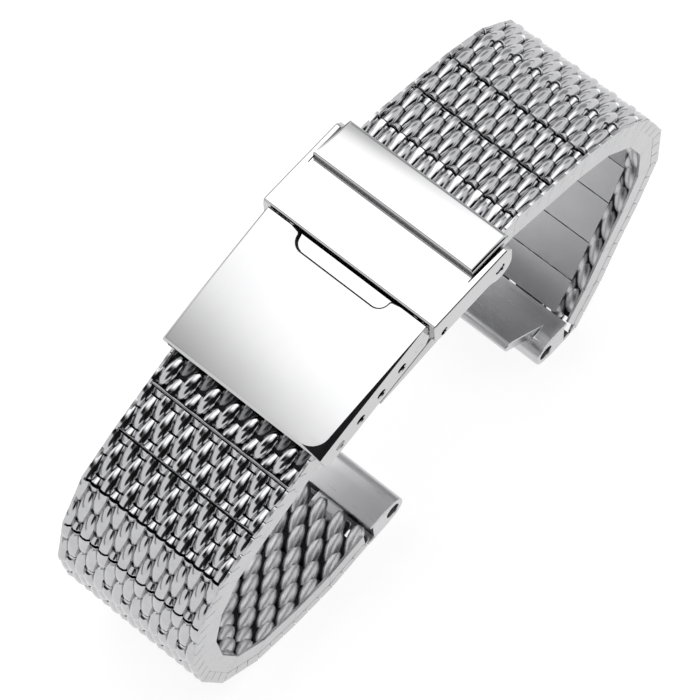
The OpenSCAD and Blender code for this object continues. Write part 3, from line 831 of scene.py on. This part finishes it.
# End block: the raised plate falls off towards the strap. Its frame is level, about the lock pin
endBlock = {
    "top": 3.6,
    "front": -3.752,
    "frontLowest": 2.0,
    "frontTurn": 0.8,
    "rear": 2.3,
    "grooveDepth": 0.15,
    "grooveWidth": 0.03,
    "sideRounding": 0.5,
    "frontRounding": 0.3,
    "rearRounding": 0.3,
    "edgeRounding": 0.05,
    "shortEdge": 0.3,
    "cutBand": 0.7,
    "domeBand": 0.9,
    "domeStrips": (-3.0, -2.4, -1.8, -1.2, -0.6, 0.0, 0.6, 1.2, 1.8),
    "domeFrom": -2.2,
    "domeSkew": 1.0,
    "domeDrop": 0.42,
    "domeSides": 0.06,
}


def joinInto(bm, other):
    mesh = bpy.data.meshes.new("joined")
    other.to_mesh(mesh)
    other.free()
    bm.from_mesh(mesh)
    bpy.data.meshes.remove(mesh)


def buildEndBlock():
    matrix = claspMatrix(jointPlace("lock_flip"), 0.0, (0, 0))
    bm = localCopy("end_block", matrix)
    top, front, groove = endBlock["top"], endBlock["front"], endBlock["grooveWidth"]
    # in front of the raised plate a shelf lies level with the flip lock's plate, behind a groove
    shelves = []
    lean = math.radians(lock["slope"])
    shelfZ = plateRear() * math.sin(lean) + lock["plateTop"] * math.cos(lean)
    shelfX = plateRear() * math.cos(lean) - lock["plateTop"] * math.sin(lean)
    for reach, drop in ((front - groove, 0.0), (front + groove, endBlock["grooveDepth"])):
        shelf = bm.copy()
        trim(shelf, (reach, 0, 0), (1, 0, 0))
        trim(shelf, (shelfX, 0, shelfZ - drop), (-math.sin(lean), 0, math.cos(lean)))
        shelves.append(shelf)
    trim(bm, (front, 0, 0), (-1, 0, 0))
    bm.normal_update()
    roundEdges(bm, sideTopEdges(bm, top), endBlock["sideRounding"], segments=5)
    roundEdges(bm, crossEdges(bm, front, top), endBlock["frontRounding"], segments=3)
    roundEdges(bm, crossEdges(bm, endBlock["rear"], top), endBlock["rearRounding"], segments=3)
    plain = [e for e in sharpEdges(bm) if e.calc_length() > endBlock["shortEdge"]]
    roundEdges(bm, plain, endBlock["edgeRounding"], segments=2)
    cutAcross(bm, top - endBlock["cutBand"], endBlock["domeStrips"], domeColumns)
    span = endBlock["rear"] - endBlock["domeFrom"]
    for vert in bm.verts:
        if vert.co.z > top - endBlock["domeBand"]:
            side = vert.co.y / claspHalfWidth
            begin = endBlock["domeFrom"] - endBlock["domeSkew"] * side
            beyond = max(0.0, vert.co.x - begin) / span
            vert.co.z -= endBlock["domeDrop"] * beyond ** 2 + endBlock["domeSides"] * side ** 2
    for face in bm.faces:
        inFront = face.calc_center_median().z > endBlock["frontLowest"]
        if inFront and face.normal.x < -endBlock["frontTurn"]:
            face.material_index = secondSteel
    for shelf in shelves:
        joinInto(bm, shelf)
    placedObject("polished_end_block", bm, matrix, [mirrorSteel, stampedSteel], "base",
                 ("end_block",), True)


# The floor of the clasp's base, and the two polished pins whose ends show
claspFloor = {"halfWidth": 9.0, "rise": 0.5}
pinSides = 32
pins = {
    "lock_pin": {"radius": 0.65, "reach": 11.88, "rounding": 0.15},
    "cover_hinge_pin": {"radius": 0.55, "reach": claspHalfWidth, "rounding": 0.02},
}


def dressedCopy(node, body, radius, material):
    matrix = Matrix.Scale(mm, 4)
    bm = localCopy(node, matrix)
    roundEdges(bm, sharpEdges(bm), radius, segments=2)
    if node == "clasp_base":
        # the floor between the flanges is painted in the dark steel: painted shade
        for face in bm.faces:
            between = abs(face.calc_center_median().y) < claspFloor["halfWidth"]
            if between and face.normal.z > claspFloor["rise"]:
                face.material_index = secondSteel
    steels = [material, paintedShadeSteel]
    placedObject(f"finished_{node}", bm, matrix, steels, body, (node,), True)


def paintNode(node, material):
    shown = frame["nodes"][node]
    shown.data.materials.clear()
    shown.data.materials.append(material)


def buildPin(node, joint, body):
    # a round pin with softly domed ends
    pin = pins[node]
    bm = bmesh.new()
    bmesh.ops.create_cone(
        bm, cap_ends=True, segments=pinSides, radius1=pin["radius"], radius2=pin["radius"],
        depth=2 * pin["reach"])
    bmesh.ops.rotate(bm, verts=bm.verts, matrix=Matrix.Rotation(math.radians(90), 3, "X"))
    roundEdges(bm, sharpEdges(bm), pin["rounding"], segments=3)
    matrix = Matrix.Translation(jointPlace(joint)) @ Matrix.Scale(mm, 4)
    placedObject(f"finished_{node}", bm, matrix, [mirrorSteel], body, (node,), True)


buildCover()
buildLock()
buildEndBlock()
# Body, rounding in mm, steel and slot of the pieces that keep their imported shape
solidPieces = {
    "clasp_base": ("base", 0.08, stampedSteel, "stamped_clasp"),
    "folding_blade": ("blade", 0.08, stampedSteel, "stamped_clasp"),
    "lower_lug_end": ("lower_lug_end", 0.15, barSteel, "lug_steel"),
    "upper_lug_end": ("upper_lug_end", 0.15, barSteel, "lug_steel"),
}
for node, (body, radius, material, slotName) in solidPieces.items():
    dressedCopy(node, body, radius, material)
buildPin("lock_pin", "lock_flip", "base")
buildPin("cover_hinge_pin", "cover_fold", "cover")
wireNodes = ["blade_hinge_pin", "lock_studs", "adjust_bar_tube", "adjust_bar_tips", "adjust_bar_spring"]
wireNodes += [f"{side}_pin_{i}" for side in ("lower", "upper") for i in range(1, pinnedSeams + 1)]
for node in wireNodes:
    paintNode(node, pinSteelWithPaintedShade)
print("solid pieces finished")


# Studio: a white tent with a dark slit over the lens, and a pale floor whose glow is painted light that dims
# behind the bracelet.
# Sizes in metres, the paper's tooth in mm
studio = {
    "floorSize": 20.0,
    "floorGlow": 0.86,
    "farGlow": 0.12,
    "glowEnds": (0.085, 0.13),
    "paper": "#808080",
    "paperRoughness": 0.9,
    "toothSize": 0.6,
    "toothHeight": 0.01,
    "toothStrength": 0.02,
    "tentLevel": 1.05,
}


def makeFloor():
    bm = bmesh.new()
    bmesh.ops.create_grid(bm, x_segments=1, y_segments=1, size=studio["floorSize"] / 2)
    mesh = bpy.data.meshes.new("studio_floor")
    bm.to_mesh(mesh)
    bm.free()
    made, tree = newMaterial("pale_paper_sweep_with_painted_glow")
    place = addNode(tree, "ShaderNodeTexCoord").outputs["Object"]
    tooth = addNode(tree, "ShaderNodeTexNoise", {
        "Vector": place, "Scale": perMetre(studio["toothSize"]), "Detail": 2.0})
    bump = addNode(tree, "ShaderNodeBump", {
        "Height": tooth.outputs["Fac"], "Strength": studio["toothStrength"],
        "Distance": studio["toothHeight"] * mm})
    # the sheet's glow is painted light: bright round the bracelet, dimmer behind it
    across = addNode(tree, "ShaderNodeSeparateXYZ", {"Vector": place}).outputs["Y"]
    begins, ends = studio["glowEnds"]
    glow = addNode(tree, "ShaderNodeMapRange", {
        "Value": across, "From Min": begins, "From Max": ends, "To Min": studio["floorGlow"],
        "To Max": studio["farGlow"]}, interpolation_type="SMOOTHSTEP").outputs["Result"]
    paper = addNode(tree, "ShaderNodeBsdfPrincipled", {
        "Base Color": hexColour(studio["paper"]), "Roughness": studio["paperRoughness"],
        "Normal": bump.outputs["Normal"], "Emission Color": (1, 1, 1, 1), "Emission Strength": glow})
    addNode(tree, "ShaderNodeOutputMaterial", {"Surface": paper.outputs["BSDF"]})
    mesh.materials.append(made)
    floor = bpy.data.objects.new("studio_floor", mesh)
    bpy.context.scene.collection.objects.link(floor)


# Each patch of the tent: its direction, how wide it is in degrees, its soft edge and its level.
# A later patch lies over the ones before it
tentPatches = [
    {"toward": (0.85, 0.20, 0.50), "width": 14.0, "soft": 7.0, "level": 0.45},
    {"toward": (-0.15, 0.84, 0.50), "width": 11.0, "soft": 5.0, "level": 1.6},
    {"toward": (0.35, 0.25, 0.90), "width": 14.0, "soft": 12.0, "level": 2.3},
    {"toward": (0.12, 0.20, 0.97), "width": 22.0, "soft": 9.0, "level": 2.3},
    {"toward": (0.34, 0.94, 0.02), "width": 20.0, "soft": 5.0, "level": 0.04},
    {"toward": (-0.70, -0.42, 0.58), "width": 22.0, "soft": 5.0, "level": 0.03},
    {"toward": (0.00, -0.88, 0.45), "width": 36.0, "soft": 3.0, "level": 0.01},
]
# The dark slit: a band round the axis, from one angle to another, that ends short of the far side
slit = {
    "axis": (0.853, 0.0, 0.522),
    "from": (-9.0, -6.0),
    "to": (16.0, 3.0),
    "endAxis": (0.0, 1.0, 0.0),
    "end": (0.81, 0.74),
    "level": 0.01,
    "lensToward": (-0.51, -0.08, 0.86),
    "lensWidth": (5.0, 8.0),
    "lensLevel": 0.16,
}


def softStep(tree, value, begin, end):
    # 0 at begin and 1 at end, with a smooth run between them
    return addNode(tree, "ShaderNodeMapRange", {
        "Value": value, "From Min": begin, "From Max": end},
        interpolation_type="SMOOTHSTEP").outputs["Result"]


def facing(tree, toward, axis):
    return addNode(tree, "ShaderNodeVectorMath", {0: toward, 1: tuple(Vector(axis).normalized())},
                   operation="DOT_PRODUCT").outputs["Value"]


def times(tree, first, second):
    return addNode(tree, "ShaderNodeMath", {0: first, 1: second}, operation="MULTIPLY").outputs["Value"]


def blendLevel(tree, share, under, over):
    mixed = addNode(tree, "ShaderNodeMix", {
        mixShare: share, mixNumber["under"]: under, mixNumber["over"]: over})
    return mixed.outputs[mixNumber["result"]]


def makeTent():
    world = bpy.data.worlds.new("studio_tent")
    bpy.context.scene.world = world
    world.use_nodes = True
    tree = world.node_tree
    tree.nodes.clear()
    toward = addNode(tree, "ShaderNodeTexCoord").outputs["Generated"]
    level = studio["tentLevel"]
    for patch in tentPatches:
        wide = math.cos(math.radians(patch["width"] + patch["soft"]))
        narrow = math.cos(math.radians(max(patch["width"] - patch["soft"], 0)))
        share = softStep(tree, facing(tree, toward, patch["toward"]), wide, narrow)
        level = blendLevel(tree, share, level, patch["level"])
    across = facing(tree, toward, slit["axis"])
    low, high = [math.sin(math.radians(a)) for a in slit["from"]]
    share = softStep(tree, across, low, high)
    low, high = [math.sin(math.radians(a)) for a in slit["to"]]
    share = times(tree, share, softStep(tree, across, low, high))
    share = times(tree, share, softStep(tree, facing(tree, toward, slit["endAxis"]), *slit["end"]))
    narrow, wide = [math.cos(math.radians(a)) for a in slit["lensWidth"]]
    lens = softStep(tree, facing(tree, toward, slit["lensToward"]), wide, narrow)
    inside = blendLevel(tree, lens, slit["level"], slit["lensLevel"])
    level = blendLevel(tree, share, level, inside)
    light = addNode(tree, "ShaderNodeBackground", {"Color": level, "Strength": 1.0})
    addNode(tree, "ShaderNodeOutputWorld", {"Surface": light.outputs["Background"]})
    print("studio lit")


makeFloor()
makeTent()
bpy.context.scene.view_settings.view_transform = "Standard"
